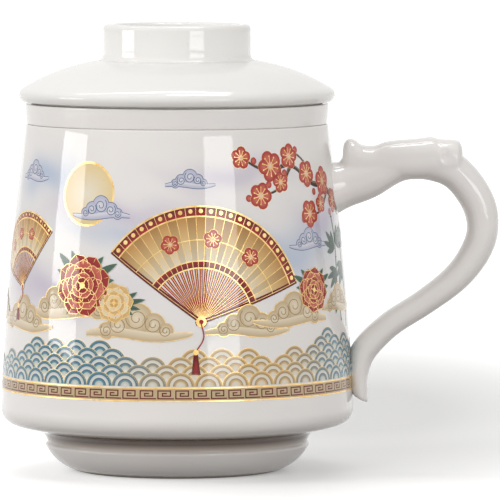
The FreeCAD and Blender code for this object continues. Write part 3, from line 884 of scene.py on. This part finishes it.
bar = through(HANDLE_BAR, 8)
bar_square = np.full(len(bar), BAR_SQUARE)
handle_bar = bar_along("handle_bar", bar[:, :2], bar[:, 2], bar[:, 3], bar[:, 4], bar_square)
rest = through(THUMB_REST, 6)
rest_middle = np.stack([rest[:, 0], rest[:, 1] - rest[:, 2] / 2], 1)
upright = np.full(len(rest), 90.0)
thumb_rest = bar_along("thumb_rest", rest_middle, upright, rest[:, 2], rest[:, 3], rest[:, 4])
handle = fused("handle_cast", [handle_bar, thumb_rest], HANDLE_VOXEL, HANDLE_ROUNDS)
move_points(handle, curl_dents)
dress(handle, "mug", "handle_glaze", porcelain("handle_glaze", HANDLE_WHITE_PAINTED_SHADE), "handle")

# Strainer basket. A thin porcelain cup that hangs in the mug by its collar. Its holes are drilled while
# the clay is leather-hard, and the glaze rounds their edges a little; here they are cut with sharp edges.
COLLAR_FOOT = MUG_TALL
COLLAR_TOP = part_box("infuser")[1].z / MM
BASKET_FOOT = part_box("infuser")[0].z / MM
BASKET_THICK = 3.2
BASKET_BORE = 34.6
BASKET_CORNERS = (
    (0.0, BASKET_FOOT, 0.0), (28.0, BASKET_FOOT, 1.75), (34.0, BASKET_FOOT + 6, 0.0),
    (37.6, COLLAR_FOOT, 0.0), (42.0, COLLAR_FOOT, 0.0), (42.4, COLLAR_TOP, 0.0),
    (BASKET_BORE, COLLAR_TOP, 0.0), (BASKET_BORE, 91.9, 0.0), (31.0, BASKET_FOOT + 7.7, -1.3),
    (26.5, BASKET_FOOT + BASKET_THICK, 0.0), (0.0, BASKET_FOOT + BASKET_THICK, 0.0),
)
BASKET_TURNS = 200
BASKET_WHITE = (0.790, 0.760, 0.736)
HOLE_RADIUS = 1.1
FLOOR_RINGS = ((0.0, 1), (6.4, 6), (12.8, 12), (19.2, 18))
SIDE_ROWS = (10.0, 16.6, 23.2)
SIDE_HOLES = 16
PEG_START = 28
PEG_LENGTH = 10.0


def pegs(name, starts, ways, radius, length, sides=20):
    """Round pegs of one radius and length, one from each start along its way."""
    angle = np.linspace(0, 2 * np.pi, sides, endpoint=False)
    points = []
    faces = []
    for start, way in zip(starts, ways):
        way = np.array(way, float)
        side = np.cross(way, (0, 0, 1) if abs(way[2]) < 0.9 else (1, 0, 0))
        side /= np.linalg.norm(side)
        other = np.cross(way, side)
        rim = radius * (np.cos(angle)[:, None] * side + np.sin(angle)[:, None] * other)
        first = len(points) * 2 * sides
        points.append(np.vstack([start + rim, start + rim + way * length]))
        faces += (first + grid_faces(2, sides)).tolist()
        faces.append([first + k for k in range(sides)][::-1])
        faces.append([first + sides + k for k in range(sides)])
    return make_mesh(name, np.concatenate(points) * MM, faces, smooth=False)


floor_turns = [(radius, 2 * math.pi * k / count) for radius, count in FLOOR_RINGS for k in range(count)]
floor_spots = [(radius * math.cos(turn), radius * math.sin(turn), BASKET_FOOT - 1)
               for radius, turn in floor_turns]
floor_ways = [(0.0, 0.0, 1.0)] * len(floor_spots)
side_turns = [2 * math.pi * k / SIDE_HOLES - math.pi / 2 for k in range(SIDE_HOLES)]
side_ways = [(math.cos(turn), math.sin(turn), 0.0) for turn in side_turns for _ in SIDE_ROWS]
side_spots = [(PEG_START * math.cos(turn), PEG_START * math.sin(turn), BASKET_FOOT + lift)
              for turn in side_turns for lift in SIDE_ROWS]
drill = pegs("drill", floor_spots + side_spots, floor_ways + side_ways, HOLE_RADIUS, PEG_LENGTH)
basket = lathe("strainer_basket", glazed(bowed(BASKET_CORNERS)), turns=BASKET_TURNS)
cut = basket.modifiers.new("holes", "BOOLEAN")
cut.operation = "DIFFERENCE"
cut.solver = "EXACT"
cut.object = drill
drilled = finished_mesh(basket)
basket.modifiers.clear()
basket.data = drilled
bpy.data.objects.remove(drill)
drilled.set_sharp_from_angle(angle=math.radians(40))
dress(basket, "infuser", "infuser_glaze", porcelain("basket_glaze", BASKET_WHITE), "infuser")

# Lid. Thrown and turned, and glazed all over: a low dome with a full bead round its edge, a flat seat that
# lies on the basket's collar, a narrow groove between the two, and a skirt inside that keeps it central.
LID_SEAT = COLLAR_TOP
LID_GAP = 0.55
LID_HOLLOW = 30.8
SKIRT_RADIUS = 33.8
SKIRT_FOOT = 95.9
# Painted light: the lid's glaze is set a little paler than the body's, for its upward faces.
LID_WHITE_PAINTED_LIGHT = (0.808, 0.795, 0.769)
DOME_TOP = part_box("lid")[1].z / MM
LID_CORNERS = (
    (0.0, DOME_TOP - 4.0, 0.0), (16.7, DOME_TOP - 4.0, 0.5), (LID_HOLLOW, LID_SEAT + 4.5, 0.0),
    (LID_HOLLOW, SKIRT_FOOT, 0.0), (SKIRT_RADIUS, SKIRT_FOOT, 0.0), (SKIRT_RADIUS, LID_SEAT, 0.0),
    (40.8, LID_SEAT, 0.0), (41.0, LID_SEAT + LID_GAP, 0.0), (43.2, LID_SEAT + LID_GAP, 1.3),
    (42.6, LID_SEAT + 4.6, 1.05), (22.2, DOME_TOP, 0.0), (0.0, DOME_TOP, 0.0),
)
lid = lathe("lid_dome", glazed(bowed(LID_CORNERS)))
lid_glaze = porcelain("lid_glaze", LID_WHITE_PAINTED_LIGHT)
dress(lid, "lid", "lid_glaze", lid_glaze, "lid")

# Ring on the lid. A short open tube luted to the dome and glazed over with it. It is the knob, and the
# lid's feet when that is set down upside down.
RING_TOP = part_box("lid_knob_ring")[1].z / MM
RING_FOOT = DOME_TOP - 0.02
RING_RADIUS = 20.7
RING_BORE = 16.7
RING_CORNERS = (
    (RING_BORE, RING_FOOT, 0.0), (22.1, RING_FOOT, -0.45), (RING_RADIUS, DOME_TOP + 1.5, 0.0),
    (RING_RADIUS, RING_TOP - 1.4, 0.41), (19.3, RING_TOP, 0.0), (18.1, RING_TOP, 0.41),
    (RING_BORE, RING_TOP - 1.4, 0.0),
)
ring = lathe("lid_ring", glazed(bowed(RING_CORNERS, closed=True), closed=True), closed=True)
dress(ring, "lid", "lid_glaze", lid_glaze, "lid_knob_ring")

# Studio. A pale table fades into a white room. The glaze shows two wide soft boxes in front, each over a
# low sill of light, a long one behind and one over the handle. The other lamps light it unseen. The
# camera stands two metres off and looks a little down on the mug.
VIEW_MIDDLE = (20.4 * MM, 0.0, 61.7 * MM)
CAMERA_BACK = 1.93
CAMERA_HIGH = 0.185
FRAME_WIDE = 0.140
SENSOR = 36.0
BOX_AWAY = 1.1
BOX_RIGHT = 31.4
BOX_LEFT = -81.5
LAMP_TARGET = (0, 0, 0.06)


def aim(thing, target):
    """Turns an object so that it looks along its own -Z at the target."""
    way = np.array(target, float) - np.array(thing.location, float)
    flat = math.hypot(way[0], way[1])
    thing.rotation_euler = (math.atan2(flat, -way[2]), 0, math.atan2(-way[0], way[1]))


camera_data = bpy.data.cameras.new("camera")
camera = placed("camera", camera_data)
camera.location = (VIEW_MIDDLE[0], -CAMERA_BACK, CAMERA_HIGH)
aim(camera, VIEW_MIDDLE)
camera_data.sensor_width = SENSOR
camera_data.lens = SENSOR * math.hypot(CAMERA_BACK, CAMERA_HIGH - VIEW_MIDDLE[2]) / FRAME_WIDE
camera_data.clip_end = 50
bpy.context.scene.camera = camera


def soft_box(name, place, target, wide, tall, power):
    """A rectangular lamp, its sides in metres and its power in watts."""
    lamp = bpy.data.lights.new(name, "AREA")
    lamp.shape = "RECTANGLE"
    lamp.size = wide
    lamp.size_y = tall
    lamp.energy = power
    box = placed(name, lamp)
    box.location = place
    aim(box, target)
    return box


def around(degrees, distance, height):
    """A place at this angle from the camera's side, towards the handle, at this distance and height."""
    turn = math.radians(degrees)
    return (distance * math.sin(turn), -distance * math.cos(turn), height)


for name, degrees, height, wide, tall, power in (
    ("box_right", BOX_RIGHT, 0.245, 0.43, 0.24, 1.35), ("box_left", BOX_LEFT, 0.215, 0.46, 0.21, 1.5),
    ("sill_right", BOX_RIGHT, 0.078, 0.43, 0.045, 0.25), ("sill_left", BOX_LEFT, 0.078, 0.46, 0.045, 0.32),
):
    soft_box(name, around(degrees, BOX_AWAY, height), (0, 0, height), wide, tall, power)
soft_box("box_back", (-0.21, 0.36, 1.0), (-0.21, 0, 0.1), 0.90, 0.10, 1.4)
# This one is seen only as a reflection along the thumb rest.
soft_box("box_top", (0.077, 0.0, 0.62), (0.077, 0, 0.09), 0.10, 0.22, 0.75).visible_diffuse = False
# These light the mug and are in no reflection.
for name, place, wide, tall, power in (
    ("key_left", around(-68.0, 1.5, 0.95), 0.7, 0.6, 9.4),
    ("key_right", around(54.0, 1.5, 0.95), 0.7, 0.6, 6.2),
    ("front", around(-20.0, 1.6, 0.75), 0.4, 0.3, 3.0),
    ("behind", around(172.0, 1.5, 0.95), 1.0, 0.6, 4.0),
    ("low_front", around(4.0, 1.6, 0.09), 0.5, 0.14, 2.5),
    ("overhead", (-0.05, -0.05, 1.1), 0.9, 0.7, 1.3),
):
    soft_box(name, place, LAMP_TARGET, wide, tall, power).visible_glossy = False


def any_view(tree):
    """One where the camera looks, straight, in a reflection or through glass, and nought for all other
    light: the largest of the three answers of the light's path."""
    path = node(tree, "LightPath")
    total = path.outputs["Is Camera Ray"]
    for name in ("Is Glossy Ray", "Is Transmission Ray"):
        larger = node(tree, "Math", operation="MAXIMUM")
        link(tree, total, larger.inputs[0])
        link(tree, path.outputs[name], larger.inputs[1])
        total = larger.outputs["Value"]
    return total


# The table looks paler than the light that it throws back. It glows by the distance from a painted shadow
# behind the mug, which is drawn out to the back: each stop is a share of the reach and the glow there.
FLOOR_SIZE = 12.0
TABLE_BOUNCE = (0.25, 0.230, 0.217, 1)
TABLE_SEEN = (0.64, 0.64, 0.64, 1)
TABLE_ROUGH = 0.5
# Painted shadow: the table's glow dips about this spot behind the mug.
PAINTED_SHADOW_SPOT = (0.052, 0.195, 0.0)
PAINTED_SHADOW_STRETCH = (1.5, 0.5, 1.0)
PAINTED_SHADOW_REACH = 2.0
PAINTED_SHADOW_GLOW = ((0.02, 0.02), (0.045, 0.18), (0.075, 0.48), (1.0, 0.8))
floor_corners = FLOOR_SIZE * np.array([(-1, -1, 0), (1, -1, 0), (1, 1, 0), (-1, 1, 0)])
floor = make_mesh("table_top", floor_corners, [(0, 1, 2, 3)], smooth=False)
table_paint, paint, paint_shader, table_place = new_material("table_paint")
paint_shader.inputs["Roughness"].default_value = TABLE_ROUGH
drawn_out = node(paint, "VectorMath", operation="MULTIPLY")
drawn_out.inputs[1].default_value = PAINTED_SHADOW_STRETCH
link(paint, table_place, drawn_out.inputs[0])
from_painted_shadow = node(paint, "VectorMath", operation="DISTANCE")
from_painted_shadow.inputs[1].default_value = [place * stretch for place, stretch in zip(PAINTED_SHADOW_SPOT, PAINTED_SHADOW_STRETCH)]
link(paint, drawn_out.outputs["Vector"], from_painted_shadow.inputs[0])
painted_shadow_share = ranged(paint, from_painted_shadow.outputs["Value"], 0.0, PAINTED_SHADOW_REACH)
glow = ramp(paint, painted_shadow_share, [(share, (level,) * 3) for share, level in PAINTED_SHADOW_GLOW])
looked_at = any_view(paint)
lifted = node(paint, "Math", operation="MULTIPLY")
link(paint, glow, lifted.inputs[1])
link(paint, looked_at, lifted.inputs[0])
top_colour = node(paint, "Mix", data_type="RGBA")
top_colour.inputs[6].default_value = TABLE_BOUNCE
top_colour.inputs[7].default_value = TABLE_SEEN
link(paint, looked_at, top_colour.inputs["Factor"])
link(paint, top_colour.outputs[2], paint_shader.inputs["Base Color"])
lift = node(paint, "Emission")
link(paint, lifted.outputs["Value"], lift.inputs["Strength"])
both = node(paint, "AddShader")
link(paint, paint_shader.outputs["BSDF"], both.inputs[0])
link(paint, lift.outputs["Emission"], both.inputs[1])
link(paint, both.outputs["Shader"], paint.nodes["Material Output"].inputs["Surface"])
floor.data.materials.append(table_paint)

# The room is white to look at and weaker as light.
ROOM_COLOUR = (1.0, 0.99, 0.975, 1)
ROOM_LIGHT = 0.40
world = bpy.data.worlds.new("white_room")
bpy.context.scene.world = world
world.use_nodes = True
room = world.node_tree
room_light = room.nodes["Background"]
room_light.inputs["Color"].default_value = ROOM_COLOUR
link(room, ranged(room, any_view(room), 0.0, 1.0, ROOM_LIGHT, 1.0), room_light.inputs["Strength"])

bpy.context.scene.view_settings.view_transform = "Standard"
